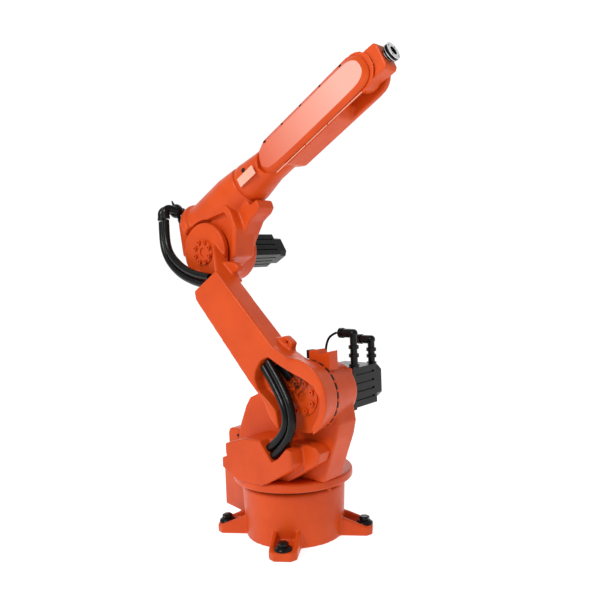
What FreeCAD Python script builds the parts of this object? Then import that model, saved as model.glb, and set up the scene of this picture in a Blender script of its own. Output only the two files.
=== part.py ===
"""Six-axis industrial robot arm with a lower arm carried on one side of its column.

The origin is on the floor on the first axis, +X is the front of the base and +Z is up. Each
sub-part is modelled in the frame of its own link, in which Y is the direction of the arm's cross
axes and -Y is the side that carries the lower arm, and is placed by the joint angles of the sheet.
"""
import FreeCAD, Part
import math
import os

import Sketcher
from FreeCAD import Placement, Rotation, Vector

SIZES = {
    # joint angles of the rest pose, in degrees
    "turn_angle": 14, "lean_angle": 45.4, "forearm_pitch": 30, "wrist_pitch": 25.5,
    # distances between the axes
    "shoulder_offset": 150, "shoulder_height": 440, "lower_arm_length": 575,
    "elbow_rise": 105, "forearm_length": 705, "tool_distance": 105,
    # base casting, its four feet and its connector box
    "base_foot_radius": 145, "base_top_radius": 153, "base_height": 160, "base_edge": 8,
    "foot_spacing": 294, "foot_width": 80, "foot_tip": 24, "foot_corner": 16, "pad_thickness": 25,
    "rib_thickness": 13, "rib_root_height": 52, "rib_tip_height": 27,
    "foot_bolt_radius": 8, "foot_hole_radius": 9.5, "washer_radius": 24, "washer_thickness": 4,
    "bolt_head_width": 30, "bolt_head_height": 14,
    "box_reach": 250, "box_width": 186, "box_floor": 40, "box_top": 172, "panel_thickness": 4,
    "base_seal_radius": 146, "running_gap": 0.3,
    # turntable and column
    "rim_radius": 177, "rim_bottom": 167, "rim_height": 28, "rim_edge": 5,
    "column_near": 80, "column_far": 5, "hub_radius": 96, "hub_near": 88, "hub_taper": 7,
    "shoulder_seal_radius": 97,
    "shoulder_motor_width": 122, "shoulder_motor_start": 30, "shoulder_motor_length": 122,
    "motor_cap_width": 96, "motor_cap_length": 40,
    "cover_outer": 180, "cover_lip": 3,
    # lower arm
    "arm_near": 162, "arm_far": 93, "arm_front": 52, "arm_rear_low": 90, "arm_rear_high": 72,
    "arm_wall": 12, "boss_radius": 109, "boss_far_radius": 97, "lobe_radius": 90, "lobe_near": 80,
    "lobe_far": 60, "pocket_floor": 122, "cavity_floor": 106,
    # elbow housing
    "elbow_barrel_radius": 74, "elbow_face": 212, "elbow_hub_radius": 92, "elbow_near": 55,
    "elbow_far": 62, "elbow_motor_width": 88, "elbow_motor_length": 150,
    # forearm and wrist
    "neck_radius": 64, "neck_end_radius": 53, "beam_start": 372, "beam_half_height": 56,
    "beam_near": 34, "beam_far": 50, "fork_radius": 56, "fork_mouth": 74, "cover_bulge": 18,
    "wrist_half_width": 27, "wrist_radius": 44, "flange_radius": 25, "flange_thickness": 12,
    "flange_pitch_radius": 20, "flange_hole_radius": 2.5, "pilot_radius": 12.5, "pilot_depth": 6,
    # hoses
    "hose_radius": 11.5, "hose_spacing": 23.8,
}

doc = FreeCAD.newDocument("robot_arm")
sheet = doc.addObject("Spreadsheet::Sheet", "Sizes")
for row, (name, number) in enumerate(SIZES.items(), 1):
    sheet.set(f"A{row}", name)
    sheet.set(f"B{row}", str(number))
    sheet.setAlias(f"B{row}", name)
doc.recompute()


class Size:
    """A length with the formula that gives it from the cells of the sheet."""

    def __init__(self, number, formula):
        self.number = number
        self.formula = formula

    def _join(self, other, sign, swap=False):
        a, b = (other, self) if swap else (self, other)
        x, y = number_of(a), number_of(b)
        number = {"+": x + y, "-": x - y, "*": x * y, "/": x / y if y else 0.0}[sign]
        return Size(number, f"({formula_of(a)} {sign} {formula_of(b)})")

    def __add__(self, other):
        return self._join(other, "+")

    def __radd__(self, other):
        return self._join(other, "+", True)

    def __sub__(self, other):
        return self._join(other, "-")

    def __rsub__(self, other):
        return self._join(other, "-", True)

    def __mul__(self, other):
        return self._join(other, "*")

    def __rmul__(self, other):
        return self._join(other, "*", True)

    def __truediv__(self, other):
        return self._join(other, "/")

    def __neg__(self):
        return 0 - self

    def __float__(self):
        return float(self.number)


def number_of(value):
    return value.number if isinstance(value, Size) else float(value)


def formula_of(value):
    return value.formula if isinstance(value, Size) else repr(round(float(value), 6))


class Sheet:
    """The cells of the sheet by name, as sizes."""

    def __getattr__(self, name):
        return Size(float(sheet.get(name)), f"Sizes.{name}")


s = Sheet()


def bind(thing, path, value):
    """Ties a property of a document object to a size, or sets it to a plain number."""
    thing.setExpression(path, formula_of(value))


class Piece:
    """One sub-part: a PartDesign body whose features are tied to the sheet."""

    def __init__(self, label, place):
        self.body = doc.addObject("PartDesign::Body", label)
        self.body.Label = label
        self.body.Placement = place

    def sketch(self, plane, offset=0, turn=0):
        """A sketch on an origin plane, moved along its normal and turned about the Z axis."""
        role = plane + "_Plane"
        base = [f for f in self.body.Origin.OriginFeatures if f.Role == role][0]
        drawing = self.body.newObject("Sketcher::SketchObject", "Sketch")
        drawing.AttachmentSupport = [(base, "")]
        drawing.MapMode = "FlatFace"
        spin = Vector(0, 0, 1) if plane == "XY" else Vector(0, 1, 0)
        drawing.AttachmentOffset = Placement(Vector(), Rotation(spin, turn))
        if plane == "XY":
            bind(drawing, "AttachmentOffset.Base.z", offset)
        else:
            bind(drawing, "AttachmentOffset.Base.x", offset * math.sin(math.radians(turn)))
            bind(drawing, "AttachmentOffset.Base.z", offset * math.cos(math.radians(turn)))
        return drawing

    def place_point(self, drawing, line, end, x, y):
        for kind, value in (("DistanceX", x), ("DistanceY", y)):
            index = drawing.addConstraint(Sketcher.Constraint(kind, -1, 1, line, end, number_of(value)))
            if isinstance(value, Size):
                drawing.renameConstraint(index, f"{kind}_{index}")
                bind(drawing, f"Constraints.{kind}_{index}", value)

    def loop(self, drawing, corners):
        """A closed outline of straight lines."""
        count = len(corners)
        points = [Vector(number_of(x), number_of(y), 0) for x, y in corners]
        lines = [drawing.addGeometry(Part.LineSegment(points[i], points[(i + 1) % count]))
                 for i in range(count)]
        for i, line in enumerate(lines):
            drawing.addConstraint(Sketcher.Constraint("Coincident", line, 2, lines[(i + 1) % count], 1))
        for line, (x, y) in zip(lines, corners):
            self.place_point(drawing, line, 1, x, y)

    def ring(self, drawing, radius, x=0, y=0):
        centre = Vector(number_of(x), number_of(y), 0)
        circle = drawing.addGeometry(Part.Circle(centre, Vector(0, 0, 1), number_of(radius)))
        self.place_point(drawing, circle, 3, x, y)
        index = drawing.addConstraint(Sketcher.Constraint("Radius", circle, number_of(radius)))
        drawing.renameConstraint(index, f"Radius_{index}")
        bind(drawing, f"Constraints.Radius_{index}", radius)

    def draw(self, plane, shapes, offset, turn=0):
        drawing = self.sketch(plane, offset, turn)
        for shape in shapes:
            if isinstance(shape, Disc):
                self.ring(drawing, shape.radius, shape.x, shape.y)
            else:
                self.loop(drawing, shape)
        return drawing

    def add(self, plane, shapes, low, high, turn=0, taper=0):
        """Material between two places along the normal axis of a plane."""
        start = -1 * high if plane == "XZ" else low
        pad = self.body.newObject("PartDesign::Pad", "Pad")
        pad.Profile = self.draw(plane, shapes, start, turn)
        bind(pad, "Length", high - low)
        bind(pad, "TaperAngle", taper)
        self.body.Tip = pad
        return pad

    def cut(self, plane, shapes, low, high, turn=0):
        """Takes away the material between two places along the normal axis of a plane."""
        start = -1 * low if plane == "XZ" else high
        pocket = self.body.newObject("PartDesign::Pocket", "Pocket")
        pocket.Profile = self.draw(plane, shapes, start, turn)
        bind(pocket, "Length", high - low)
        self.body.Tip = pocket
        return pocket

    def turned(self, plane, corners, axis):
        """Material turned about the H_Axis or V_Axis of a sketch on a plane."""
        turning = self.body.newObject("PartDesign::Revolution", "Revolution")
        drawing = self.draw(plane, [corners], 0)
        turning.Profile = drawing
        turning.ReferenceAxis = (drawing, [axis])
        turning.Angle = 360
        self.body.Tip = turning
        return turning

    def around(self, features, count):
        """Repeats features in a circle about the Z axis."""
        pattern = self.body.newObject("PartDesign::PolarPattern", "PolarPattern")
        pattern.Originals = features
        pattern.Axis = (self.axis("Z"), [""])
        pattern.Angle = 360
        pattern.Occurrences = count
        self.body.Tip = pattern
        return pattern

    def axis(self, name):
        return [f for f in self.body.Origin.OriginFeatures if f.Role == name + "_Axis"][0]

    def soften(self, radius, wanted, kind="Fillet"):
        """Rounds or bevels the edges that the test names."""
        doc.recompute()
        base = self.body.Tip
        names = [f"Edge{i}" for i, edge in enumerate(base.Shape.Edges, 1) if wanted(edge)]
        if not names:
            raise ValueError(f"{self.body.Label}: no edge to soften")
        feature = self.body.newObject("PartDesign::" + kind, kind)
        feature.Base = (base, names)
        bind(feature, "Radius" if kind == "Fillet" else "Size", radius)
        self.body.Tip = feature
        return feature


class Disc:
    """A circle of an outline."""

    def __init__(self, radius, x=0, y=0):
        self.radius, self.x, self.y = radius, x, y


def box(x0, x1, y0, y1):
    return [(x0, y0), (x1, y0), (x1, y1), (x0, y1)]


def middle(edge):
    return edge.valueAt((edge.FirstParameter + edge.LastParameter) / 2)


ALONG_X, ALONG_Y, ALONG_Z = Vector(1, 0, 0), Vector(0, 1, 0), Vector(0, 0, 1)


def group(label, shapes, place):
    """Small like pieces that share a node."""
    feature = doc.addObject("Part::Feature", label)
    feature.Label = label
    feature.Shape = Part.makeCompound(shapes)
    feature.Placement = place
    return feature


def hex_bolt(width, head, shank_radius, length):
    """A hexagon bolt with its head on z = 0 and its shank below."""
    across = width / math.sqrt(3)
    corners = [Vector(across * math.cos(math.radians(60 * k)), across * math.sin(math.radians(60 * k)), 0)
               for k in range(7)]
    prism = Part.Face(Part.makePolygon(corners)).extrude(Vector(0, 0, head))
    dome = Part.makeCone(across * 1.25, across * 0.8, head, Vector(), ALONG_Z)
    shank = Part.makeCylinder(shank_radius, length, Vector(0, 0, -length), ALONG_Z)
    return prism.common(dome).fuse(shank).removeSplitter()


def cap_screw(radius, height, socket=True):
    """A socket-head screw head standing on z = 0."""
    head = Part.makeCylinder(radius, height)
    if socket:
        key = Part.makeCylinder(radius * 0.5, height * 0.5, Vector(0, 0, height * 0.5), ALONG_Z)
        head = head.cut(key)
    return head


def ring_of(shape, count, radius, centre, first=0.0):
    """Copies of a shape that stands on the near side, in a circle about a cross axis."""
    copies = []
    for k in range(count):
        angle = math.radians(first + 360 * k / count)
        copy = shape.copy()
        copy.Placement = Placement(
            Vector(centre[0] + radius * math.cos(angle), centre[1], centre[2] + radius * math.sin(angle)),
            Rotation(Vector(1, 0, 0), 90))
        copies.append(copy)
    return copies


def tube(points, radius):
    """A hose of straight runs joined by tangent arcs, each as large as its two runs allow."""
    points = [Vector(*p) for p in points]
    edges, start, radii = [], points[0], []
    for before, at, after in zip(points, points[1:], points[2:]):
        a, b = (before - at), (after - at)
        run = min(a.Length, b.Length)
        a.normalize()
        b.normalize()
        half_turn = (math.pi - a.getAngle(b)) / 2
        bend = 0.45 * run / math.tan(half_turn)
        back = bend * math.tan(half_turn)
        first, last = at + a * back, at + b * back
        inward = a + b
        inward.normalize()
        centre = at + inward * (bend / math.cos(half_turn))
        mid = centre - inward * bend
        edges += [Part.LineSegment(start, first).toShape(), Part.Arc(first, mid, last).toShape()]
        radii.append(bend)
        start = last
    edges.append(Part.LineSegment(start, points[-1]).toShape())
    path = Part.Wire(edges)
    direction = points[1] - points[0]
    section = Part.Wire([Part.Circle(points[0], direction, radius).toShape()])
    hose = path.makePipeShell([section], True, False)
    length = sum(edge.Length for edge in edges)
    share = hose.Volume / (math.pi * radius ** 2 * length)
    print(f"hose: length {length:.0f}, tightest bend {min(radii):.0f}, volume share {share:.4f}")
    return hose


# ---------------------------------------------------------------- frames of the links
def about_y(angle):
    return Placement(Vector(), Rotation(ALONG_Y, angle))


def shift(x, y, z):
    return Placement(Vector(number_of(x), number_of(y), number_of(z)), Rotation())


GROUND = Placement()
SWIVEL = Placement(Vector(), Rotation(ALONG_Z, float(s.turn_angle)))
LOWER = (SWIVEL.multiply(shift(s.shoulder_offset, 0, s.shoulder_height))
         .multiply(about_y(-float(s.lean_angle))))
ELBOW = (LOWER.multiply(shift(0, 0, s.lower_arm_length)).multiply(about_y(float(s.lean_angle)))
         .multiply(about_y(-float(s.forearm_pitch))).multiply(shift(0, 0, s.elbow_rise)))
ELBOW_ORIGIN = SWIVEL.inverse().multVec(ELBOW.Base)
ELBOW_AXIS = SWIVEL.inverse().multVec(LOWER.multVec(Vector(0, 0, float(s.lower_arm_length))))
WRIST = (ELBOW.multiply(shift(s.forearm_length, 0, 0)).multiply(about_y(float(s.forearm_pitch)))
         .multiply(about_y(-float(s.wrist_pitch))))


# ---------------------------------------------------------------- base
def base_casting():
    piece = Piece("base_casting", GROUND)
    shoulder = s.base_height - s.base_edge
    piece.turned("XZ", [(0, 0), (s.base_foot_radius, 0), (s.base_top_radius, shoulder),
                        (s.base_top_radius - s.base_edge, s.base_height), (0, s.base_height)], "V_Axis")
    reach = s.foot_spacing * math.sqrt(0.5)
    half = s.foot_width / 2
    root = s.base_foot_radius - 20
    tip = reach + s.foot_tip
    feet = []
    feet.append(piece.add("XY", [[(root, -half), (tip - s.foot_corner, -half), (tip, s.foot_corner - half),
                                  (tip, half - s.foot_corner), (tip - s.foot_corner, half), (root, half)]],
                          0, s.pad_thickness, 45))
    slope = [(root, 0), (tip - s.foot_corner, 0), (tip - s.foot_corner, s.rib_tip_height),
             (s.base_foot_radius + 8, s.rib_root_height), (root, s.rib_root_height)]
    feet.append(piece.add("XZ", [slope], half - s.rib_thickness, half, 45))
    feet.append(piece.add("XZ", [slope], -half, s.rib_thickness - half, 45))
    feet.append(piece.cut("XY", [Disc(s.foot_hole_radius, reach, 0)], 0, s.pad_thickness, 45))
    piece.around(feet, 4)
    back = s.box_reach - s.panel_thickness
    half_box = s.box_width / 2
    low_top = s.base_height - 4
    piece.add("XY", [box(-back, -100, -half_box, half_box)], s.box_floor, low_top)
    piece.add("XY", [box(-back, -(s.rim_radius + 9), -half_box, half_box)], low_top - 10, s.box_top)
    return piece


def foot_positions():
    half = float(s.foot_spacing) / 2
    return [(x, y) for x in (-half, half) for y in (-half, half)]


def foot_fasteners():
    top = float(s.pad_thickness)
    plate = float(s.washer_thickness)
    washers, bolts = [], []
    for x, y in foot_positions():
        disc = Part.makeCylinder(float(s.washer_radius), plate)
        hole = Part.makeCylinder(float(s.foot_hole_radius), plate)
        washer = disc.cut(hole)
        washer.Placement = shift(x, y, top)
        washers.append(washer)
        bolt = hex_bolt(float(s.bolt_head_width), float(s.bolt_head_height), float(s.foot_bolt_radius),
                        top + plate)
        bolt.Placement = shift(x, y, top + plate)
        bolts.append(bolt)
    group("foot_washers", washers, GROUND)
    group("foot_bolts", bolts, GROUND)


def base_seal():
    piece = Piece("base_seal", GROUND)
    piece.add("XY", [Disc(s.base_seal_radius), Disc(s.base_seal_radius - 24)],
              s.base_height, s.rim_bottom - s.running_gap)
    return piece


def connector_panel():
    piece = Piece("connector_panel", GROUND)
    half = s.box_width / 2 - 8
    piece.add("YZ", [box(-half, half, s.box_floor + 8, s.box_top - 8)],
              -s.box_reach, s.panel_thickness - s.box_reach)
    return piece


def panel_sockets():
    face = -float(s.box_reach)
    lean = Rotation(ALONG_Y, -90)
    shapes = []
    for y, z, radius, depth in ((-52, 122, 19, 16), (0, 122, 19, 16)):
        plug = Part.makeCylinder(radius, depth)
        plug = plug.cut(Part.makeCylinder(radius - 4, depth - 5, Vector(0, 0, 5)))
        flange = Part.makeBox(2 * radius + 6, 2 * radius + 6, 3, Vector(-radius - 3, -radius - 3, 0))
        socket = flange.fuse(plug)
        socket.Placement = Placement(Vector(face, y, z), lean)
        shapes.append(socket)
    plate = Part.makeBox(14, 46, 74, Vector(face - 14, 32, 86))
    shapes.append(plate.cut(Part.makeBox(10, 34, 60, Vector(face - 14, 38, 93))))
    for y in (-60, -36):
        fitting = Part.makeCylinder(8, 12).fuse(Part.makeCylinder(5, 22))
        fitting.Placement = Placement(Vector(face, y, 72), lean)
        shapes.append(fitting)
    return group("panel_sockets", shapes, GROUND)


# ---------------------------------------------------------------- turntable and column
def turntable():
    piece = Piece("turntable", SWIVEL)
    top = s.rim_bottom + s.rim_height
    edge = s.rim_edge
    piece.turned("XZ", [(0, s.rim_bottom), (s.rim_radius - edge, s.rim_bottom),
                        (s.rim_radius, s.rim_bottom + edge), (s.rim_radius, top - edge),
                        (s.rim_radius - edge, top), (0, top)], "V_Axis")
    return piece


def column():
    piece = Piece("column", SWIVEL)
    floor = s.rim_bottom + s.rim_height
    x, z = s.shoulder_offset, s.shoulder_height
    web = [(178, floor), (203, 263), (226, 321), (236, 362), (x + 72, z), (x + 30, z + 68), (x - 60, z + 40),
           (-62, 420), (-90, 408), (-108, 382), (-136, 318), (-150, 260), (-120, floor)]
    piece.add("XZ", [web], -s.column_near, s.column_far)
    far_radius = s.hub_radius - 16
    piece.add("XZ", [Disc(far_radius, x, z)], -s.hub_near, s.shoulder_motor_start - 8, 0, s.hub_taper)
    half = s.shoulder_motor_width / 2
    piece.add("XZ", [box(x - half, x + half, z - half, z + half)], 0, s.shoulder_motor_start)
    piece.add("XZ", [[(-150, floor), (60, floor), (60, 330), (20, 385), (-90, 385), (-136, 318),
                      (-150, 260)]], 0, 88)
    return piece


def stop_blocks():
    """Two blocks on the shoulder that end the travel of the lower arm, and their buffer."""
    x, z = s.shoulder_offset, s.shoulder_height
    piece = Piece("stop_blocks", SWIVEL)
    piece.add("XZ", [[(x - 2, z + 70), (x + 68, z + 70), (x + 68, z + 121), (x + 36, z + 112),
                      (x + 26, z + 124), (x - 2, z + 120)]], -86, -50)
    spread = math.tan(math.radians(float(s.hub_taper)))
    near_radius = s.hub_radius - 16 + (s.hub_near + s.shoulder_motor_start - 8) * spread
    piece.cut("XZ", [Disc(near_radius + 0.4, x, z)], -86, -50)
    buffer = Piece("stop_buffer", SWIVEL)
    buffer.add("XZ", [box(x - 14, x - 2, z + 97, z + 121)], -82, -58)
    return piece, buffer


def rear_box():
    piece = Piece("rear_box", SWIVEL)
    side = [(-190, 216), (-151, 216), (-151, 262), (-140, 306), (-184, 304), (-190, 292)]
    piece.add("XZ", [side], -76, 70)
    return piece


def side_cover():
    """The cable cover beside the column, stepped down to it at the front, with a notch for the hoses."""
    piece = Piece("side_cover", SWIVEL)
    floor = s.rim_bottom + s.rim_height
    near = -s.cover_outer
    full = [(-99, 291), (-97, 253), (-114, 248), (-115, 221), (-66, floor), (52, floor), (138, 244),
            (150, 262), (146, 300), (112, 312), (71, 315), (-23, 315)]
    piece.add("XZ", [full], near + s.cover_lip, -s.column_near)
    piece.add("XZ", [[(-99, 291), (-97, 253), (-114, 248), (-115, 221), (-56, 190), (40, 190), (138, 246),
                      (146, 262), (142, 298), (110, 310), (71, 313), (-23, 313)]], near, near + s.cover_lip)
    piece.add("XZ", [[(52, floor), (90, floor), (196, 262), (206, 290), (190, 306), (112, 312)]],
              -128, -s.column_near)
    piece.cut("XZ", [[(36.8, 315.1), (77.6, 260.7), (104, 277), (130, 305), (150, 335), (38, 335)]],
              near, near + 38)
    return piece


def shoulder_seal():
    piece = Piece("shoulder_seal", SWIVEL)
    x, z = s.shoulder_offset, s.shoulder_height
    radius = s.shoulder_seal_radius
    piece.add("XZ", [Disc(radius, x, z), Disc(radius - 30, x, z)],
              s.running_gap - s.arm_far, -s.hub_near)
    return piece


def shoulder_motor():
    """The motor of the shoulder, with lengthwise ribs between its two end plates, and its brake cap."""
    x, z = s.shoulder_offset, s.shoulder_height
    half = s.shoulder_motor_width / 2
    start = s.shoulder_motor_start
    end = start + s.shoulder_motor_length
    motor = Piece("shoulder_motor", SWIVEL)
    motor.add("XZ", [box(x - half, x + half, z - half, z + half)], start, start + 14)
    inner = half - 4
    motor.add("XZ", [box(x - inner, x + inner, z - inner, z + inner)], start + 10, end)
    for place in (-0.62, -0.2, 0.22, 0.66):
        slot = inner * place
        motor.cut("XZ", [box(x + inner - 4, x + inner + 4, z + slot - 3, z + slot + 3),
                         box(x - inner - 4, x - inner + 4, z + slot - 3, z + slot + 3),
                         box(x + slot - 3, x + slot + 3, z - inner - 4, z - inner + 4)],
                  start + 14, end - 12)
    cap = Piece("shoulder_motor_cap", SWIVEL)
    cap_half = s.motor_cap_width / 2
    corner = cap_half - 14
    cap.add("XZ", [[(x - cap_half, z - corner), (x - corner, z - cap_half), (x + corner, z - cap_half),
                    (x + cap_half, z - corner), (x + cap_half, z + corner), (x + corner, z + cap_half),
                    (x - corner, z + cap_half), (x - cap_half, z + corner)]], end, end + s.motor_cap_length)
    return motor, cap


def angled_connector(foot, rise, reach, radius):
    """A plug that stands on a motor and turns to the rear, with its two ribbed nuts."""
    top = foot + Vector(0, 0, rise)
    stem = Part.makeCylinder(radius * 0.8, rise, foot, ALONG_Z)
    knee = Part.makeSphere(radius, top)
    barrel = Part.makeCylinder(radius, reach, top, Vector(-1, 0, 0))
    nuts = [Part.makeCylinder(radius * 1.15, 10, foot + Vector(0, 0, height), ALONG_Z)
            for height in (0, rise * 0.3, rise * 0.55)]
    end_nut = Part.makeCylinder(radius * 1.15, 12, top + Vector(-reach, 0, 0), ALONG_X)
    return stem.fuse([knee, barrel, end_nut] + nuts).removeSplitter()


def motor_connectors():
    x, z = float(s.shoulder_offset), float(s.shoulder_height)
    body_top = z + float(s.shoulder_motor_width) / 2 - 4
    cap_top = z + float(s.motor_cap_width) / 2
    cap_middle = float(s.shoulder_motor_start + s.shoulder_motor_length) + 17
    plugs = [angled_connector(Vector(x + 44, 60, body_top), 97, 46, 13),
             angled_connector(Vector(x + 30, cap_middle, cap_top), 76, 44, 13)]
    group("motor_connectors", plugs, SWIVEL)
    cable = tube([(x - 15, 60, body_top + 97), (x - 40, 60, body_top + 88), (x - 54, 60, body_top + 62),
                  (x - 58, 60, body_top + 32), (x - 58, 60, body_top)], 3.5)
    group("motor_cable", [cable], SWIVEL)
    eye = Part.makeBox(22, 6, 20, Vector(x + 6, 96, body_top))
    eye = eye.fuse(Part.makeCylinder(11, 6, Vector(x + 17, 96, body_top + 20), ALONG_Y))
    eye = eye.cut(Part.makeCylinder(5, 6, Vector(x + 17, 96, body_top + 20), ALONG_Y))
    group("lifting_eye", [eye], SWIVEL)


# ---------------------------------------------------------------- hoses
def pair_of(centre_line):
    """The points of two hoses that run beside each other, half a spacing to each side of a centre line."""
    half = float(s.hose_spacing) / 2
    pair = []
    for sign in (-1, 1):
        points = []
        across = (centre_line[1] - centre_line[0]).cross(ALONG_Y)
        for i, at in enumerate(centre_line):
            along = centre_line[min(i + 1, len(centre_line) - 1)] - centre_line[max(i - 1, 0)]
            along.normalize()
            across = across - along * along.dot(across)
            across.normalize()
            points.append(at + across * (sign * half))
        pair.append(points)
    return pair


# from the pocket of the lower arm to the side cover
LOWER_ROUTE = [(37, -140, 523), (63, -143, 493), (96, -151, 457), (124, -159, 421), (136, -164, 386),
               (130, -165, 352), (110, -164, 324), (86, -162, 302), (62, -160, 284)]
# from the lower arm to the gland on the elbow, and on through its knee, from the elbow's axis
UPPER_ROUTE = [(72, -128, -88), (30, -125, -84), (-12, -120, -75), (-54, -115, -62), (-95, -109, -42),
               (-130, -104, -16), (-154, -99, 16), (-166, -94, 54), (-170, -90, 106)]
KNEE_ROUTE = [(-184, -87, 140), (-156, -50, 138)]


def hoses():
    lower = pair_of([Vector(*p) for p in LOWER_ROUTE])
    whole = pair_of([ELBOW_AXIS + Vector(*p) for p in UPPER_ROUTE + KNEE_ROUTE])
    upper = [line[:len(UPPER_ROUTE)] for line in whole]
    for label, lines in (("lower_hoses", lower), ("upper_hoses", upper)):
        group(label, [tube(line, float(s.hose_radius)) for line in lines], SWIVEL)


# ---------------------------------------------------------------- lower arm
def lower_arm():
    piece = Piece("lower_arm", LOWER)
    top = s.lower_arm_length
    near, far = -s.arm_near, -s.arm_far
    front, wall = s.arm_front, s.arm_wall
    piece.add("XZ", [[(-s.arm_rear_low, 20), (-s.arm_rear_low, 146), (-s.arm_rear_high, top - 130),
                      (-57, top - 108), (front, top - 134), (front - 4, 145), (78, 45), (94, -20),
                      (40, -60)]], near, far)
    piece.turned("YZ", [(near, 0), (near, s.boss_radius), (far, s.boss_far_radius), (far, 0)], "H_Axis")
    piece.add("YZ", [[(near + wall, top - 180), (near + wall, top - 122), (-s.lobe_near, top - 10),
                      (-s.lobe_near, top - 130), (far, top - 160), (far, top - 180)]],
              -s.arm_rear_high + 4, front)
    piece.add("YZ", [[(near, top - 180), (near, top - 145), (-s.lobe_near, top - 5),
                      (-s.lobe_near, top - 180)]], front - wall, front)
    piece.add("XZ", [Disc(s.lobe_radius, 0, top)], -s.lobe_near, -s.lobe_far)
    piece.cut("XZ", [[(-70, 130), (-50, 143), (-15, 149), (14, 138), (24, 104), (40, 62), (60, 20),
                      (74, -22), (64, -60), (30, -82), (-10, -90), (-40, -130), (-130, -60), (-74, 20),
                      (-76, 60), (-82, 100)]], near, -s.pocket_floor)
    inside = [(-60, top - 245), (front - wall, top - 245), (front - wall, top - 75), (-60, top - 75)]
    piece.cut("XZ", [inside], near + wall, -s.cavity_floor)
    open_back = [(-60, top - 100), (front - wall, top - 100), (front - wall, top + 40), (-60, top + 40)]
    piece.cut("XZ", [open_back], near, -s.lobe_near)
    piece.cut("XZ", [[(-100, top - 112), (-57, top - 112), (-57, top + 40), (-100, top + 40)]],
              near, -s.cavity_floor)
    piece.add("XZ", [[(46, 172), (74, 156), (78, 124), (60, 116), (46, 110)]], -118, far)
    piece.cut("XZ", [Disc(5, 64, 140)], -118, far)
    piece.add("XZ", [[(front - 4, top - 94), (70, top - 117), (86, top - 141), (86, top - 157),
                      (74, top - 163), (front - 4, top - 150)]], -108, -s.lobe_near)
    return piece


def joint_screws():
    """Ring of screws and the centre disc of the shoulder and elbow reducers."""
    screw = cap_screw(6.5, 8)
    top = float(s.lower_arm_length)
    for name, floor, height, disc_radius, ring_radius in (
            ("shoulder", -float(s.pocket_floor), 0.0, 52, 40), ("elbow", -float(s.lobe_near), top, 39, 32)):
        disc = Part.makeCylinder(disc_radius, 4, Vector(0, floor, height), Vector(0, -1, 0))
        disc = disc.cut(Part.makeCylinder(14, 4, Vector(0, floor, height), Vector(0, -1, 0)))
        group(name + "_disc", [disc], LOWER)
        group(name + "_screws", ring_of(screw, 8, ring_radius, (0, floor - 4, height), 22.5), LOWER)


def hose_clamp():
    """The block that holds the lower hoses in the pocket of the arm."""
    floor = -float(s.pocket_floor)
    block = Part.makeBox(22, 9, 56, Vector(-5, floor - 9, 60))
    return group("hose_clamp", [block], LOWER)


# ---------------------------------------------------------------- elbow housing
def elbow_housing():
    piece = Piece("elbow_housing", ELBOW)
    drop = -s.elbow_rise
    radius = s.elbow_barrel_radius
    face = s.elbow_face
    piece.turned("XZ", [(-45, 0), (-45, radius + 8), (-36, radius + 13), (-18, radius + 13), (-10, radius),
                        (140, radius), (face, radius - 8), (face, 0)], "H_Axis")
    piece.add("XZ", [Disc(s.elbow_hub_radius, 0, drop)], -s.elbow_near, s.elbow_far)
    piece.add("XZ", [[(-45, -30), (-60, -60), (-80, -105), (-60, -150), (60, -182), (102, -184),
                      (151, -116), (158, -60), (150, -30)]], -radius, 10)
    piece.add("XZ", [[(0, -60), (60, -165), (80, -165), (130, -137), (179, -110), (218, -107),
                      (237, -98), (240, -72), (face - 5, -70), (face - 8, -40)]], -40, 30)
    recess = [(69, -27), (132, -48), (140, -80), (128, -118), (84, -176), (40, -230), (-140, -230),
              (-140, -50), (-60, -20)]
    piece.cut("XZ", [recess], -radius - 20, -s.elbow_near)
    piece.cut("XZ", [Disc(s.lobe_radius + 8, 0, drop)], -radius - 20, -s.elbow_near)
    piece.add("XZ", [[(-20, 50), (-76, 50), (-115, -51), (-74, -83), (-30, -30)]], -s.elbow_near, 50)
    return piece


def elbow_seal():
    """The seal between the elbow housing and the lobe of the lower arm."""
    piece = Piece("elbow_seal", ELBOW)
    drop = -s.elbow_rise
    piece.add("XZ", [Disc(84, 0, drop), Disc(60, 0, drop)], s.running_gap - s.lobe_far, -s.elbow_near)
    return piece


def elbow_motor():
    drop = -s.elbow_rise
    half = s.elbow_motor_width / 2
    start = s.elbow_far + 10
    end = start + s.elbow_motor_length
    adapter = Piece("elbow_adapter", ELBOW)
    adapter.add("XZ", [Disc(s.elbow_hub_radius - 32, 0, drop)], s.elbow_far, start)
    adapter.cut("XZ", [box(-70, 70, drop + half, drop + 70)], s.elbow_far, start)
    motor = Piece("elbow_motor", ELBOW)
    motor.add("XZ", [box(-half, half, drop - half, drop + half)], start, start + 12)
    inner = half - 4
    motor.add("XZ", [box(-inner, inner, drop - inner, drop + inner)], start + 8, end)
    for place in (-0.5, 0, 0.5):
        slot = inner * place
        motor.cut("XZ", [box(inner - 3, inner + 4, drop + slot - 2.5, drop + slot + 2.5),
                         box(-inner - 4, 3 - inner, drop + slot - 2.5, drop + slot + 2.5),
                         box(slot - 2.5, slot + 2.5, drop - inner - 4, drop - inner + 3)],
                  start + 12, end - 10)
    cap = Piece("elbow_motor_cap", ELBOW)
    small = half - 8
    corner = small - 12
    cap.add("XZ", [[(-small, drop - corner), (-corner, drop - small), (corner, drop - small),
                    (small, drop - corner), (small, drop + corner), (corner, drop + small),
                    (-corner, drop + small), (-small, drop + corner)]], end, end + 38)
    return adapter, motor, cap


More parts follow.
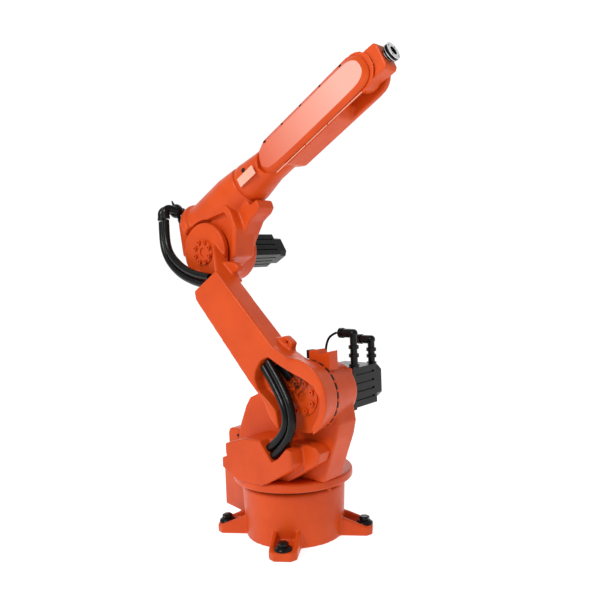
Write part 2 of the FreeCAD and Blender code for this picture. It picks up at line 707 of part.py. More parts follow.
def hose_gland():
    """The gland on the rear of the elbow: a knee for each of the upper hoses on one stout body."""
    sleeve = float(s.hose_radius) + 1.5
    to_elbow = ELBOW.inverse().multiply(SWIVEL)
    shapes = []
    for line in pair_of([ELBOW_AXIS + Vector(*p) for p in UPPER_ROUTE + KNEE_ROUTE]):
        before, end, *knee = [to_elbow.multVec(point) for point in line[len(UPPER_ROUTE) - 2:]]
        along = end - before
        along.normalize()
        end = end + along * 4
        shapes.append(tube([end, end + along * 36] + knee[1:], sleeve))
        shapes.append(Part.makeCylinder(sleeve + 1, 9, end, along))
    foot = Vector(-66, -32, 50)
    top = foot + Vector(0, -16, 42)
    shapes += [Part.makeSphere(23, top), Part.makeCylinder(20, 14, foot)]
    shapes.append(Part.makeCone(6, 2, 22, top + Vector(0, 0, 18), ALONG_Z))
    body = Part.makeCylinder(18, 42, foot)
    return group("hose_gland", [body.fuse(shapes).removeSplitter()], ELBOW)


# ---------------------------------------------------------------- forearm
def cover_outline():
    end = s.forearm_length
    return [(304, -8), (316, 30), (344, 50), (end - 6, 50), (end + 24, 40), (end + 40, 18),
            (end + 40, -20), (end + 24, -40), (end - 6, -50), (340, -50), (312, -30)]


def forearm():
    piece = Piece("forearm", ELBOW)
    start = s.elbow_face + 5
    piece.turned("XZ", [(start, 0), (start, s.neck_radius), (start + 12, s.neck_radius),
                        (310, s.neck_end_radius), (s.beam_start + 20, s.neck_end_radius),
                        (s.beam_start + 20, 0)], "H_Axis")
    half = s.beam_half_height
    end = s.forearm_length
    piece.add("XZ", [[(330, half - 8), (350, half), (end, half), (end, -half), (s.beam_start + 20, -half),
                      (s.beam_start, 10 - half), (350, -30)]], -s.beam_near, s.beam_far)
    piece.add("XZ", [Disc(s.fork_radius, end, 0)], -s.beam_near, s.beam_far)
    piece.cut("XZ", [cover_outline()], -80, -s.beam_near)
    mouth = s.wrist_half_width + 5
    back = end - s.fork_mouth
    piece.cut("XZ", [[(back, 30), (back - 18, 56), (back - 18, 90), (end + 80, 90), (end + 80, -90),
                      (back - 40, -90), (back - 34, -56), (back - 8, -30)]], -mouth, mouth)
    return piece


def neck_seal():
    """The dark ring between the elbow housing and the neck of the forearm."""
    piece = Piece("neck_seal", ELBOW)
    start = s.elbow_face + s.running_gap
    piece.add("YZ", [Disc(s.neck_radius - 3), Disc(s.neck_radius - 20)], start, s.elbow_face + 5)
    return piece


def forearm_cover():
    piece = Piece("forearm_cover", ELBOW)
    near = -s.beam_near
    face = near - s.cover_bulge
    piece.add("XZ", [cover_outline()], face, near)
    piece.soften(16, lambda edge: abs(middle(edge).y - number_of(face)) < 0.01, "Chamfer")
    return piece


def cover_screws():
    """The screws along the upper bevel of the forearm's cover."""
    shapes = []
    for x in (360, 440, 520, 600, 680):
        head = cap_screw(4, 4)
        head.Placement = Placement(Vector(x, -43.2, 43.2), Rotation(ALONG_X, 45))
        shapes.append(head)
    return group("cover_screws", shapes, ELBOW)


def far_cover():
    piece = Piece("far_cover", ELBOW)
    far = s.beam_far
    end = s.forearm_length
    piece.add("XZ", [[(420, -40), (420, 40), (end - 10, 44), (end + 24, 34), (end + 40, 14),
                      (end + 40, -14), (end + 24, -34), (end - 10, -44)]], far, far + 12)
    return piece


def blank_plate():
    piece = Piece("blank_plate", ELBOW)
    piece.add("XZ", [box(228, 298, -23, 5)], -67, -64.2)
    return piece


# ---------------------------------------------------------------- wrist and tool flange
def wrist():
    piece = Piece("wrist", WRIST)
    half = s.wrist_half_width
    piece.add("XZ", [Disc(s.wrist_radius)], -half, half)
    face = s.tool_distance - 22
    nose = [(0, -38), (face - 8, -38), (face, -30), (face, 30), (face - 8, 40), (0, 40)]
    piece.add("XZ", [nose], -half, half)
    return piece


def wrist_seals():
    """The bearing covers between the wrist and the two arms of the fork."""
    half = float(s.wrist_half_width)
    thick = 5 - float(s.running_gap)
    shapes = [Part.makeCylinder(30, thick, Vector(0, half, 0), ALONG_Y),
              Part.makeCylinder(30, thick, Vector(0, -half, 0), -ALONG_Y)]
    return group("wrist_seals", shapes, WRIST)


def tool_flange():
    piece = Piece("tool_flange", WRIST)
    start = s.tool_distance - 21.7
    end = s.tool_distance
    piece.turned("XZ", [(start, 0), (start, 18), (end - s.flange_thickness, 18),
                        (end - s.flange_thickness, s.flange_radius), (end, s.flange_radius),
                        (end, 0)], "H_Axis")
    piece.cut("YZ", [Disc(s.pilot_radius)], end - s.pilot_depth, end)
    at = s.flange_pitch_radius * math.sqrt(0.5)
    piece.cut("YZ", [Disc(s.flange_hole_radius, x, y) for x in (-at, at) for y in (-at, at)],
              end - s.flange_thickness, end)
    return piece


PARTS = [base_casting, foot_fasteners, base_seal, connector_panel, panel_sockets,
         turntable, column, stop_blocks, rear_box, side_cover,
         shoulder_seal, shoulder_motor, motor_connectors,
         lower_arm, joint_screws, hose_clamp, hoses,
         elbow_housing, elbow_seal, elbow_motor, hose_gland,
         forearm, neck_seal, forearm_cover, cover_screws, far_cover, blank_plate,
         wrist, wrist_seals, tool_flange]
for make in PARTS:
    make()
doc.recompute()

pieces = [o for o in doc.Objects if o.TypeId in ("PartDesign::Body", "Part::Feature")]
for thing in doc.Objects:
    if "Invalid" in thing.State or "Error" in thing.State:
        raise RuntimeError(f"{thing.Label} ({thing.Name}) is {thing.State}")
for piece in pieces:
    if piece.Shape.isNull() or not piece.Shape.isValid():
        raise RuntimeError(f"{piece.Label} has no valid shape")
os.makedirs("parts", exist_ok=True)
for piece in pieces:
    piece.Shape.exportStep(f"parts/{piece.Label}.step")
print(len(pieces), "parts written")
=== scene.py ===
"""The robot arm as it looks: painted castings, motors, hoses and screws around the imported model."""
import math

import bmesh
import bpy
from mathutils import Matrix, Vector


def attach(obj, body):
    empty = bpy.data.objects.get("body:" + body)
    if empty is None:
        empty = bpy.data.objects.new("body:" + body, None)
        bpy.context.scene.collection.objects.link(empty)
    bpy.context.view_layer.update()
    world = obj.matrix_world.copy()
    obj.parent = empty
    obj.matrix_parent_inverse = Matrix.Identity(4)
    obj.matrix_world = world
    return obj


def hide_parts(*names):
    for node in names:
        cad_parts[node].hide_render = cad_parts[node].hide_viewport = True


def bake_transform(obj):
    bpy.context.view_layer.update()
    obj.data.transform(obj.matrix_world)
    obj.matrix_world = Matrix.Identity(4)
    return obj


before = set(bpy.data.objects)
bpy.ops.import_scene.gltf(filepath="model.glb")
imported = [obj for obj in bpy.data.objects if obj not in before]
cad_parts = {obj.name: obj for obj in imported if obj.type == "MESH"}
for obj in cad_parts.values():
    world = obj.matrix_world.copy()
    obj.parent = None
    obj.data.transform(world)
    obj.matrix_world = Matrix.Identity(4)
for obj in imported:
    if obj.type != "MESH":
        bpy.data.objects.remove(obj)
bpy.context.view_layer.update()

# camera, in metres and degrees
CAMERA_PLACE = (1.7232, -1.2159, 0.8103)
CAMERA_AZIMUTH = 143.71
CAMERA_PITCH = -3.25
CAMERA_ROLL = -2.19
CAMERA_LENS = 42.96
CAMERA_SENSOR = 36

# the way from the camera to the white backdrop, how far from it the room dims, and how bright it is there
BACKDROP = (-0.806, 0.592, 0)
DIM_AT, WHITE_AT = 0.3, 0.85
DIM_STRENGTH, WHITE_STRENGTH = 0.44, 1.05
# each lamp's name, place, height that it is aimed at, width and power, in metres and watts
LAMPS = (
    ("key", (0.7, -2.9, 2.7), 0.7, 1.2, 72),
    ("fill", (2.6, 1.4, 1.2), 0.7, 1.6, 5),
    ("back", (-2.0, 2.2, 2.6), 0.8, 1.6, 18),
)
FLOOR_SIZE = 40
FLOOR_GREY = 0.4
FLOOR_GLOW = 0.86

# rest pose of the arm, in degrees, and the sizes of its links, in metres
TURN, LEAN, RISE, WRIST_RISE = 14, 45.4, 30, 25.5
SHOULDER = (0.150, 0, 0.440)
LOWER_LENGTH = 0.575
FOREARM_RAISE = 0.105
FOREARM_LENGTH = 0.705


def turned(axis, degrees):
    return Matrix.Rotation(math.radians(degrees), 4, axis)


# the frames of the links
GROUND = Matrix.Identity(4)
SWIVEL = turned("Z", TURN)
LOWER = SWIVEL @ Matrix.Translation(SHOULDER) @ turned("Y", -LEAN)
ELBOW = (LOWER @ Matrix.Translation((0, 0, LOWER_LENGTH)) @ turned("Y", LEAN - RISE)
         @ Matrix.Translation((0, 0, FOREARM_RAISE)))
WRIST = ELBOW @ Matrix.Translation((FOREARM_LENGTH, 0, 0)) @ turned("Y", RISE - WRIST_RISE)


# ---------------------------------------------------------------- camera, light and floor
def camera():
    azimuth, pitch, roll = (math.radians(a) for a in (CAMERA_AZIMUTH, CAMERA_PITCH, CAMERA_ROLL))
    level = math.cos(pitch)
    forward = Vector((level * math.cos(azimuth), level * math.sin(azimuth), math.sin(pitch)))
    right = Vector((math.sin(azimuth), -math.cos(azimuth), 0))
    up = right.cross(forward)
    right, up = (right * math.cos(roll) + up * math.sin(roll),
                 up * math.cos(roll) - right * math.sin(roll))
    data = bpy.data.cameras.new("camera")
    data.lens = CAMERA_LENS
    data.sensor_width = CAMERA_SENSOR
    made = bpy.data.objects.new("camera", data)
    bpy.context.collection.objects.link(made)
    facing = Matrix((right, up, -forward)).transposed().to_4x4()
    made.matrix_world = Matrix.Translation(CAMERA_PLACE) @ facing
    bpy.context.scene.camera = made


def area_light(name, place, aim_height, size, watts):
    data = bpy.data.lights.new(name, "AREA")
    data.shape = "DISK"
    data.size = size
    data.energy = watts
    made = bpy.data.objects.new(name, data)
    bpy.context.collection.objects.link(made)
    made.location = place
    aim = Vector((0, 0, aim_height)) - Vector(place)
    made.rotation_euler = aim.to_track_quat("-Z", "Y").to_euler()


def studio():
    """A white backdrop behind the arm, a dimmer room round it, a soft key light and two weak ones."""
    bpy.context.scene.view_settings.view_transform = "Standard"
    world = bpy.data.worlds.new("studio")
    bpy.context.scene.world = world
    world.use_nodes = True
    nodes, links = world.node_tree.nodes, world.node_tree.links
    background = nodes["Background"]
    background.inputs["Color"].default_value = (1, 1, 1, 1)
    aim = nodes.new("ShaderNodeVectorMath")
    aim.operation = "DOT_PRODUCT"
    aim.inputs[1].default_value = BACKDROP
    links.new(nodes.new("ShaderNodeTexCoord").outputs["Generated"], aim.inputs[0])
    fall = nodes.new("ShaderNodeMapRange")
    for name, number in zip(RANGE_SOCKETS, (DIM_AT, WHITE_AT, DIM_STRENGTH, WHITE_STRENGTH)):
        fall.inputs[name].default_value = number
    links.new(aim.outputs["Value"], fall.inputs["Value"])
    links.new(fall.outputs["Result"], background.inputs["Strength"])
    for lamp in LAMPS:
        area_light(*lamp)
    bpy.ops.mesh.primitive_plane_add(size=FLOOR_SIZE)
    floor = bpy.context.object
    floor.name = "floor"
    paper = Paint("floor_paper", (FLOOR_GREY,) * 3, 0.95)
    paper.mix(paper.noise(6, 2), 0.4, 0.6, (FLOOR_GREY - 0.02,) * 3, (FLOOR_GREY + 0.02,) * 3)
    paper.set("Emission Color", (1, 1, 1, 1))
    paper.set("Emission Strength", FLOOR_GLOW)
    paper.set("Specular IOR Level", 0.0)
    floor.data.materials.append(paper.material)


# ---------------------------------------------------------------- materials
RANGE_SOCKETS = ("From Min", "From Max", "To Min", "To Max")
# a Mix node's two colour inputs and its colour output, by number
MIX_FIRST, MIX_SECOND, MIX_COLOUR = 6, 7, 2

ORANGE = (0.66, 0.074, 0.007)
DEEP_ORANGE = (0.58, 0.058, 0.005)
# the pale pink of a painted reflection on the forearm cover's outer face
REFLECTION_PALE = (0.84, 0.44, 0.36)
PLATE = (0.86, 0.42, 0.32)
PLATE_SHADE = (0.82, 0.36, 0.26)
SEAL_BLACK = (0.003, 0.003, 0.003)
# the near black of the darkened patches round the screws in the shoulder pocket
POCKET_DARK = (0.018, 0.004, 0.002)
FLANGE_GREY = (0.80, 0.80, 0.81)
FLANGE_BLACK = (0.012, 0.012, 0.013)


class Paint:
    """A node material with helpers for its colour variation, roughness and bump."""

    def __init__(self, name, colour, roughness, metallic=0.0):
        self.material = bpy.data.materials.new(name)
        self.material.use_nodes = True
        self.nodes = self.material.node_tree.nodes
        self.links = self.material.node_tree.links
        self.shader = self.nodes["Principled BSDF"]
        self.shader.inputs["Base Color"].default_value = (*colour, 1)
        self.shader.inputs["Roughness"].default_value = roughness
        self.shader.inputs["Metallic"].default_value = metallic
        self.place = self.nodes.new("ShaderNodeTexCoord").outputs["Object"]
        self.height = None

    def set(self, socket, value):
        self.shader.inputs[socket].default_value = value

    def noise(self, scale, detail=3, stretch=None):
        texture = self.nodes.new("ShaderNodeTexNoise")
        texture.inputs["Scale"].default_value = scale
        texture.inputs["Detail"].default_value = detail
        place = self.place
        if stretch:
            mapping = self.nodes.new("ShaderNodeMapping")
            mapping.inputs["Scale"].default_value = stretch
            self.links.new(place, mapping.inputs["Vector"])
            place = mapping.outputs["Vector"]
        self.links.new(place, texture.inputs["Vector"])
        return texture.outputs["Fac"]

    def spread(self, value, low, high, to_low, to_high):
        """The value's range from low to high, laid over another range."""
        made = self.nodes.new("ShaderNodeMapRange")
        for name, number in zip(RANGE_SOCKETS, (low, high, to_low, to_high)):
            made.inputs[name].default_value = number
        self.links.new(value, made.inputs["Value"])
        return made.outputs["Result"]

    def feed(self, made, inputs):
        """Give a node its inputs in order, each an output of another node, a number or a vector."""
        for socket, value in zip(made.inputs, inputs):
            if isinstance(value, bpy.types.NodeSocket):
                self.links.new(value, socket)
            else:
                socket.default_value = value

    def math(self, operation, *inputs):
        made = self.nodes.new("ShaderNodeMath")
        made.operation = operation
        self.feed(made, inputs)
        return made.outputs[0]

    def vector(self, operation, output, *inputs):
        made = self.nodes.new("ShaderNodeVectorMath")
        made.operation = operation
        self.feed(made, inputs)
        return made.outputs[output]

    def mix(self, value, low, high, first, second):
        """The base colour goes from the first to the second as the value goes from low to high."""
        share = self.spread(value, low, high, 0, 1)
        made = self.nodes.new("ShaderNodeMix")
        made.data_type = "RGBA"
        made.inputs[MIX_FIRST].default_value = (*first, 1)
        made.inputs[MIX_SECOND].default_value = (*second, 1)
        self.links.new(share, made.inputs["Factor"])
        self.links.new(made.outputs[MIX_COLOUR], self.shader.inputs["Base Color"])

    def overlay(self, share, colour):
        """Another colour over the base colour, as strong as the share at each point."""
        base = self.shader.inputs["Base Color"]
        below = base.links[0].from_socket
        made = self.nodes.new("ShaderNodeMix")
        made.data_type = "RGBA"
        made.inputs[MIX_SECOND].default_value = (*colour, 1)
        self.links.new(share, made.inputs["Factor"])
        self.links.new(below, made.inputs[MIX_FIRST])
        self.links.new(made.outputs[MIX_COLOUR], base)

    def roughness(self, value, low, high):
        self.links.new(self.spread(value, 0.3, 0.7, low, high), self.shader.inputs["Roughness"])

    def bump(self, value, strength, depth):
        made = self.nodes.new("ShaderNodeBump")
        made.inputs["Strength"].default_value = strength
        made.inputs["Distance"].default_value = depth
        self.links.new(value, made.inputs["Height"])
        if self.height:
            self.links.new(self.height, made.inputs["Normal"])
        self.height = made.outputs["Normal"]
        self.links.new(self.height, self.shader.inputs["Normal"])


def cast_paint(name, main, shade, rough):
    """Gloss enamel over a casting: a faint wave of the casting below, and the fine skin of sprayed paint."""
    paint = Paint(name, main, rough)
    paint.mix(paint.noise(9, 4), 0.35, 0.68, shade, main)
    paint.roughness(paint.noise(40, 3), rough - 0.05, rough + 0.1)
    paint.bump(paint.noise(28, 2), 0.25, 0.0012)
    paint.bump(paint.noise(900, 2), 0.25, 0.00012)
    paint.set("Specular IOR Level", 0.2)
    paint.set("Coat Weight", 0.06)
    paint.set("Coat Roughness", 0.2)
    return paint


def metal(name, colour, rough, brushed):
    paint = Paint(name, colour, rough, 1.0)
    paint.roughness(paint.noise(60, 3), rough - 0.08, rough + 0.12)
    paint.mix(paint.noise(30, 4), 0.3, 0.7, tuple(c * 0.82 for c in colour), colour)
    paint.bump(paint.noise(brushed, 2, (1, 1, 14)), 0.25, 0.00015)
    return paint.material


def dark_shell(name, colour, rough, grain, depth):
    paint = Paint(name, colour, rough)
    paint.mix(paint.noise(50, 3), 0.35, 0.7, colour, tuple(c * 2 + 0.001 for c in colour))
    paint.roughness(paint.noise(35, 3), rough - 0.08, rough + 0.12)
    paint.bump(paint.noise(grain, 2), 0.25, depth)
    paint.set("Specular IOR Level", 0.22)
    return paint.material


def dashed(name, dark, light, turns, centre):
    """A rubber ring seen through short gaps in a painted lip, shared out evenly round the joint."""
    paint = Paint(name, dark, 0.6)
    turn = paint.nodes.new("ShaderNodeVectorRotate")
    turn.rotation_type = "Z_AXIS"
    turn.inputs["Angle"].default_value = -math.radians(TURN)
    paint.links.new(paint.vector("SUBTRACT", "Vector", paint.place, centre), turn.inputs["Vector"])
    flat = paint.nodes.new("ShaderNodeSeparateXYZ")
    paint.links.new(turn.outputs["Vector"], flat.inputs["Vector"])
    angle = paint.math("ARCTAN2", flat.outputs["Z"], flat.outputs["X"])
    wave = paint.math("SINE", paint.math("MULTIPLY", angle, turns))
    paint.mix(wave, -0.62, -0.52, light, dark)
    paint.bump(paint.noise(300, 2), 0.3, 0.0003)
    return paint.material


def along(paint, link, axis):
    """A point's place along one axis of a link's frame, in metres."""
    *direction, offset = link.inverted()[axis]
    return paint.math("ADD", paint.vector("DOT_PRODUCT", "Value", paint.place, direction), offset)


def cover_enamel_with_reflection():
    """The forearm cover's paint with a painted reflection: it turns pale along its outer face, as a bright
    lamp mirrored there would make it.
    """
    paint = cast_paint("cover_enamel_with_reflection", ORANGE, DEEP_ORANGE, 0.34)
    # painted reflection: the outer face is mixed towards pale, more strongly further along the forearm
    sheen = paint.spread(along(paint, ELBOW, 0), 0.30, 0.66, 0.10, 0.85)
    face = paint.spread(along(paint, ELBOW, 1), COVER_FACE + 0.0012, COVER_FACE + 0.0004, 0, 1)
    paint.overlay(paint.math("MULTIPLY", sheen, face), REFLECTION_PALE)
    return paint.material


def pocket_enamel():
    """The arm's paint, darkened to near black in patches round the screws in its pocket beside the hoses."""
    paint = cast_paint("pocket_enamel", ORANGE, DEEP_ORANGE, 0.36)
    middle = LOWER @ Vector((0.014, -0.122, 0.040))
    near = paint.spread(paint.vector("DISTANCE", "Value", paint.place, middle), 0.058, 0.012, 0, 1)
    patches = paint.spread(paint.noise(95, 4), 0.40, 0.60, 0.15, 1)
    # near-black patches, strongest near the middle of the pocket's screws and fading within a few
    # centimetres
    paint.overlay(paint.math("MULTIPLY", near, patches), POCKET_DARK)
    return paint.material


def flange_finish():
    """Turned aluminium with blackened rims at its two ends."""
    paint = Paint("flange_aluminium", (0.78, 0.78, 0.79), 0.22, 1.0)
    paint.roughness(paint.noise(60, 3), 0.16, 0.34)
    from_end = paint.math("ADD", along(paint, WRIST, 0), -0.1045)
    rim = paint.math("PINGPONG", from_end, 0.0047)
    paint.mix(rim, 0.0006, 0.0009, FLANGE_GREY, FLANGE_BLACK)
    paint.bump(paint.noise(300, 2, (1, 1, 14)), 0.25, 0.0001)
    return paint.material


def materials():
    """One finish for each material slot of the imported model."""
    return {
        "orange_paint": cast_paint("orange_enamel", ORANGE, DEEP_ORANGE, 0.36).material,
        "pale_paint": cast_paint("pale_plate_enamel", PLATE, PLATE_SHADE, 0.3).material,
        "motor_black": dark_shell("motor_enamel", (0.002, 0.002, 0.002), 0.22, 500, 0.0002),
        "steel": metal("zinc_plate", (0.55, 0.55, 0.56), 0.34, 200),
        "dark_steel": metal("blackened_steel", (0.015, 0.015, 0.016), 0.38, 200),
        "black_plastic": dark_shell("moulded_plastic", (0.0015, 0.0015, 0.0015), 0.24, 700, 0.0001),
        "rubber": dark_shell("hose_rubber", (0.002, 0.002, 0.002), 0.26, 260, 0.0003),
        "aluminium": metal("turned_aluminium", (0.72, 0.72, 0.73), 0.26, 300),
    }


def dress(thing, material):
    thing.data.materials.clear()
    thing.data.materials.append(material)


def paint_nodes(finishes):
    """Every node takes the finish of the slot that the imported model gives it."""
    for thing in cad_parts.values():
        for place in thing.material_slots:
            place.material = finishes[place.material.name.split(".")[0]]


def finish_of(node, finish):
    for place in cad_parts[node].material_slots:
        place.material = finish


# ---------------------------------------------------------------- castings
WELD_DISTANCE = 1e-6
SMOOTH_FACTOR = 0.5
# each node's name, body, link, size of the skin's cells in metres, and rounds of smoothing
CASTINGS = (
    ("base_casting", "base", GROUND, 0.0030, 9),
    ("turntable", "swivel", SWIVEL, 0.0025, 6),
    ("column", "swivel", SWIVEL, 0.0028, 12),
    ("rear_box", "swivel", SWIVEL, 0.0025, 8),
    ("side_cover", "swivel", SWIVEL, 0.0025, 6),
    ("lower_arm", "lower_arm", LOWER, 0.0028, 10),
    ("elbow_housing", "elbow", ELBOW, 0.0028, 14),
    ("forearm", "forearm", ELBOW, 0.0028, 10),
    ("wrist", "wrist", WRIST, 0.0016, 10),
)


def mesh_copy(node, name, frame_of):
    """A copy of a node's mesh, its seams welded, laid out in the frame of its link."""
    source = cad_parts[node]
    data = source.data.copy()
    data.name = name
    data.transform(frame_of.inverted() @ source.matrix_world)
    grown = bmesh.new()
    grown.from_mesh(data)
    bmesh.ops.remove_doubles(grown, verts=grown.verts, dist=WELD_DISTANCE)
    grown.to_mesh(data)
    grown.free()
    return data


def casting(node, body, frame_of, voxel, rounds, finish):
    """A cast body: the node's shape with its edges and corners rounded as a mould leaves them."""
    data = mesh_copy(node, node + "_cast", frame_of)
    made = bpy.data.objects.new(node + "_cast", data)
    bpy.context.collection.objects.link(made)
    remesh = made.modifiers.new("skin", "REMESH")
    remesh.mode = "VOXEL"
    remesh.voxel_size = voxel
    smooth = made.modifiers.new("round", "SMOOTH")
    smooth.factor = SMOOTH_FACTOR
    smooth.iterations = rounds
    depsgraph = bpy.context.evaluated_depsgraph_get()
    shaped = bpy.data.meshes.new_from_object(made.evaluated_get(depsgraph))
    made.modifiers.clear()
    made.data = shaped
    bpy.data.meshes.remove(data)
    shaped.name = node + "_cast"
    shaped.transform(frame_of)
    for face in shaped.polygons:
        face.use_smooth = True
    dress(made, finish)
    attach(made, body)
    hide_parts(node)


# ---------------------------------------------------------------- cover, foot bolts and gasket
# the cover's outline in the forearm's frame, in millimetres, and its back and face, in metres
COVER_OUTLINE = [(304, -8), (316, 30), (344, 50), (699, 50), (729, 40), (745, 18), (745, -20), (729, -40),
                 (699, -50), (340, -50), (312, -30)]
COVER_HALF_HEIGHT = 50
COVER_BACK = -0.034
COVER_FACE = -0.052
# the cover's bevel: how far in from the outline, in millimetres, and how deep, in metres
COVER_RINGS = ((0, COVER_BACK + 0.0003), (0, COVER_BACK - 0.0050), (1.5, COVER_BACK - 0.0072),
               (12.0, COVER_FACE + 0.0012), (14.0, COVER_FACE + 0.0002), (17.0, COVER_FACE),
               (34.0, COVER_FACE))
# the painted highlight below the cover: its lengths along the forearm, in millimetres, and its height and
# radius, in metres
SEAM_LENGTHS = ((345, 470), (474, 560), (564, 695))
SEAM_HEIGHT = -0.0522
SEAM_RADIUS = 0.0014

# radius and height of turned pieces, in metres
FOOT_BOLT_REACH = 0.147
WASHER = [(0.0245, 0.0250), (0.0250, 0.0275), (0.0225, 0.0315), (0.0175, 0.0350), (0.0150, 0.0370)]
BOLT_HEAD = [(0.0150, 0.0365), (0.0156, 0.0380), (0.0156, 0.0445), (0.0128, 0.0470), (0.0060, 0.0480)]
GASKET = [(0.1400, 0.1590), (0.1516, 0.1590), (0.1520, 0.1600), (0.1520, 0.1652), (0.1516, 0.1660),
          (0.1400, 0.1660)]


def solid_of(name, rings, frame_of, finish, smooth=True):
    """A closed skin through rings of points, each ring joined to the next, laid out in a link's frame."""
    grown = bmesh.new()
    made = [[grown.verts.new(frame_of @ Vector(point)) for point in ring] for ring in rings]
    count = len(rings[0])
    for first, second in zip(made, made[1:]):
        for i in range(count):
            grown.faces.new((first[i], first[(i + 1) % count], second[(i + 1) % count], second[i]))
    grown.faces.new(made[0][::-1])
    grown.faces.new(made[-1])
    bmesh.ops.recalc_face_normals(grown, faces=grown.faces)
    data = bpy.data.meshes.new(name)
    grown.to_mesh(data)
    grown.free()
    thing = bpy.data.objects.new(name, data)
    bpy.context.collection.objects.link(thing)
    for face in data.polygons:
        face.use_smooth = smooth
    dress(thing, finish)
    return thing


def lathe(profile, centre, count):
    """Rings of points round a vertical line, one for each radius and height of the profile."""
    return [[(centre[0] + radius * math.cos(2 * math.pi * i / count),
              centre[1] + radius * math.sin(2 * math.pi * i / count), height) for i in range(count)]
            for radius, height in profile]


def joined(name, things):
    """The things as one object."""
    grown = bmesh.new()
    for thing in things:
        grown.from_mesh(thing.data)
    data = things[0].data.copy()
    grown.to_mesh(data)
    grown.free()
    made = bpy.data.objects.new(name, data)
    bpy.context.collection.objects.link(made)
    for thing in things:
        bpy.data.objects.remove(thing)
    return made


def foot_bolts(finish):
    """A hex bolt with a domed washer under its head in each foot."""
    things = []
    for x in (-FOOT_BOLT_REACH, FOOT_BOLT_REACH):
        for y in (-FOOT_BOLT_REACH, FOOT_BOLT_REACH):
            things.append(solid_of("washer", lathe(WASHER, (x, y), 32), GROUND, finish))
            things.append(solid_of("head", lathe(BOLT_HEAD, (x, y), 6), GROUND, finish, smooth=False))
    made = joined("foot_bolt_set", things)
    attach(made, "base")
    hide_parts("foot_bolts", "foot_washers")


def rim_gasket(finish):
    """The black ring seen in the gap below the rim of the turntable."""
    made = solid_of("rim_gasket", lathe(GASKET, (0, 0), 96), GROUND, finish)
    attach(made, "base")
    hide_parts("base_seal")


def rounded(points, share=0.22, times=3):
    """The outline with each corner cut, a few times over, so that it runs round smoothly."""
    for _ in range(times):
        cut = []
        for a, b in zip(points, points[1:] + points[:1]):
            cut.append((a[0] + (b[0] - a[0]) * share, a[1] + (b[1] - a[1]) * share))
            cut.append((b[0] + (a[0] - b[0]) * share, b[1] + (a[1] - b[1]) * share))
        points = cut
    return points


def rail(name, points, radius, finish, body):
    """A thin rod along a line of points."""
    curve = bpy.data.curves.new(name, "CURVE")
    curve.dimensions = "3D"
    curve.bevel_depth = radius
    curve.bevel_resolution = 2
    curve.use_fill_caps = True
    spline = curve.splines.new("POLY")
    spline.points.add(len(points) - 1)
    for point, at in zip(spline.points, points):
        point.co = (*at, 1)
    made = bpy.data.objects.new(name, curve)
    bpy.context.collection.objects.link(made)
    curve.materials.append(finish)
    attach(made, body)


def forearm_cover(finish, seam_highlight_finish):
    """The cover on the near side of the forearm: a raised face with a broad bevel all round it."""
    outline = rounded(COVER_OUTLINE)
    left, right = min(x for x, z in outline), max(x for x, z in outline)
    middle, reach = (left + right) / 2, (right - left) / 2
    rings = []
    for inset, y in COVER_RINGS:
        across, up = (reach - inset) / reach, (COVER_HALF_HEIGHT - inset) / COVER_HALF_HEIGHT
        rings.append([((middle + (x - middle) * across) / 1000, y, z * up / 1000) for x, z in outline])
    made = solid_of("forearm_cover_shell", rings, ELBOW, finish)
    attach(made, "forearm")
    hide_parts("forearm_cover")
    # painted highlight: a pale rod along the seam's edge below the cover, in three lengths, standing in for
    # the light caught on that edge
    for number, ends in enumerate(SEAM_LENGTHS):
        line = [ELBOW @ Vector((x / 1000, COVER_BACK - 0.0012, SEAM_HEIGHT)) for x in ends]
        rail(f"cover_seam_highlight_{number}", line, SEAM_RADIUS, seam_highlight_finish, "forearm")


# ---------------------------------------------------------------- small fittings
# radius and height of turned pieces, in millimetres
SUNK_SCREW = [(4.6, -1.0), (4.6, 0.3), (3.9, 0.6), (3.4, 0.5), (1.9, 0.3), (1.2, -0.2)]
PLUG = [(7.0, -6.0), (7.0, 0.8), (6.0, 1.6), (4.2, 1.4), (2.0, 0.4)]
LUG = [(5.5, -3.0), (5.5, 7.0), (4.8, 8.2), (2.0, 8.6)]
BOX_SCREW_PLACE = (-149, -76, 285)
NECK_PLUG_PLACE = (256, -58, 18.3)
RIM_STOP_RADIUS = 163
RIM_UNDERSIDE = 167
RIM_STOP_ANGLES = (-12, 2)


def knob(name, link, place, facing, profile, finish, body):
    """A small turned piece on a surface; its profile is in millimetres from the surface outwards."""
    rings = lathe([(radius / 1000, height / 1000) for radius, height in profile], (0, 0), 24)
    turn = Vector((0, 0, 1)).rotation_difference(Vector(facing)).to_matrix().to_4x4()
    spot = Matrix.Translation(Vector(place) / 1000)
    made = solid_of(name, rings, link @ spot @ turn, finish)
    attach(made, body)


def fittings(finishes):
    """The screw of the rear box, the stops under the rim and the plug in the neck."""
    knob("box_screw", SWIVEL, BOX_SCREW_PLACE, (0, -1, 0), SUNK_SCREW, finishes["dark_steel"], "swivel")
    for number, angle in enumerate(math.radians(a) for a in RIM_STOP_ANGLES):
        place = (RIM_STOP_RADIUS * math.cos(angle), RIM_STOP_RADIUS * math.sin(angle), RIM_UNDERSIDE)
        knob(f"rim_stop_{number}", SWIVEL, place, (0, 0, -1), LUG, finishes["orange_paint"], "swivel")
    # the plug stands square to the round neck, whose axis is the frame's own
    knob("neck_plug", ELBOW, NECK_PLUG_PLACE, (0, *NECK_PLUG_PLACE[1:]), PLUG, finishes["black_plastic"],
         "forearm")


# ---------------------------------------------------------------- hoses
# middle lines of the hoses, in the swivel's frame and in millimetres
LOWER_ROUTE = [(37, -140, 523), (63, -143, 493), (96, -151, 457), (124, -159, 421), (136, -164, 386),
               (130, -165, 352), (110, -164, 324), (86, -162, 302), (62, -160, 284)]
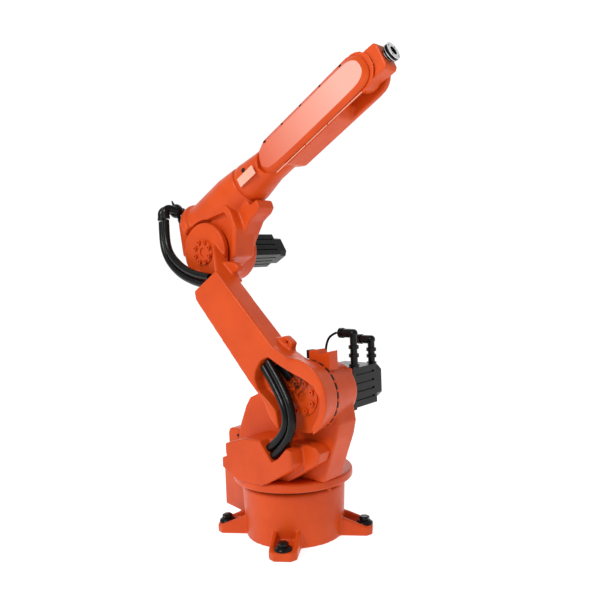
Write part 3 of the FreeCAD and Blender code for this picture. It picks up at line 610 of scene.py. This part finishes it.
# these two run from the axis of the elbow; the second only says how the pair goes on
UPPER_ROUTE = [(72, -128, -88), (30, -125, -84), (-12, -120, -75), (-54, -115, -62), (-95, -109, -42),
               (-130, -104, -16), (-154, -99, 16), (-166, -94, 54), (-170, -90, 106)]
KNEE_ROUTE = [(-184, -87, 140), (-156, -50, 138)]
CABLE_ROUTE = [(135, 60, 594), (110, 60, 585), (96, 60, 559), (92, 60, 529), (92, 60, 497)]
ELBOW_AXIS = SWIVEL.inverted() @ LOWER @ Vector((0, 0, LOWER_LENGTH))
HOSE_RADIUS = 0.0115
HOSE_SPACING = 0.0238
CABLE_RADIUS = 0.0035


def beside(route, origin, share):
    """The points of one hose, a share of the spacing to one side of the middle of the pair."""
    line = [origin + Vector(p) / 1000 for p in route]
    across = (line[1] - line[0]).cross(Vector((0, 1, 0)))
    points = []
    for i, at in enumerate(line):
        way = (line[min(i + 1, len(line) - 1)] - line[max(i - 1, 0)]).normalized()
        across = (across - way * way.dot(across)).normalized()
        points.append(SWIVEL @ (at + across * share * HOSE_SPACING))
    return points


def hose(name, points, radius, finish):
    """A smooth hose along the points, as a mesh."""
    curve = bpy.data.curves.new(name, "CURVE")
    curve.dimensions = "3D"
    curve.bevel_depth = radius
    curve.bevel_resolution = 5
    curve.use_fill_caps = True
    spline = curve.splines.new("NURBS")
    spline.points.add(len(points) - 1)
    for point, at in zip(spline.points, points):
        point.co = (*at, 1)
    spline.order_u = 3
    spline.use_endpoint_u = True
    spline.resolution_u = 10
    thing = bpy.data.objects.new(name, curve)
    bpy.context.collection.objects.link(thing)
    depsgraph = bpy.context.evaluated_depsgraph_get()
    data = bpy.data.meshes.new_from_object(thing.evaluated_get(depsgraph))
    bpy.data.objects.remove(thing)
    made = bpy.data.objects.new(name, data)
    bpy.context.collection.objects.link(made)
    for face in data.polygons:
        face.use_smooth = True
    dress(made, finish)
    return made


def hoses(finish):
    """A pair of hoses at each joint, curved in their rest shape from one of its bodies to the other, and the
    lead of the shoulder motor.
    """
    for share, side in ((-0.5, "a"), (0.5, "b")):
        lower = beside(LOWER_ROUTE, Vector(), share)
        made = hose("lower_hose_" + side, lower, HOSE_RADIUS, finish)
        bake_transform(made)
        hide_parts("lower_hoses")
        upper = beside(UPPER_ROUTE + KNEE_ROUTE, ELBOW_AXIS, share)[:len(UPPER_ROUTE)]
        made = hose("upper_hose_" + side, upper, HOSE_RADIUS, finish)
        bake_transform(made)
        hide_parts("upper_hoses")
    route = [SWIVEL @ (Vector(p) / 1000) for p in CABLE_ROUTE]
    cable = hose("motor_lead", route, CABLE_RADIUS, finish)
    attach(cable, "swivel")
    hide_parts("motor_cable")


# ---------------------------------------------------------------- the scene
SEAL_GAPS = 24

camera()
studio()
finishes = materials()
paint_nodes(finishes)
pocket = pocket_enamel()
for cast in CASTINGS:
    casting(*cast, pocket if cast[0] == "lower_arm" else finishes["orange_paint"])
for node in ("shoulder_disc", "shoulder_screws"):
    finish_of(node, pocket)
forearm_cover(cover_enamel_with_reflection(), finishes["pale_paint"])
foot_bolts(finishes["motor_black"])
rim_gasket(finishes["rubber"])
fittings(finishes)
hoses(finishes["rubber"])
ring = dashed("shoulder_ring", SEAL_BLACK, DEEP_ORANGE, SEAL_GAPS, SWIVEL @ Vector(SHOULDER))
finish_of("shoulder_seal", ring)
finish_of("neck_seal", finishes["orange_paint"])
finish_of("tool_flange", flange_finish())
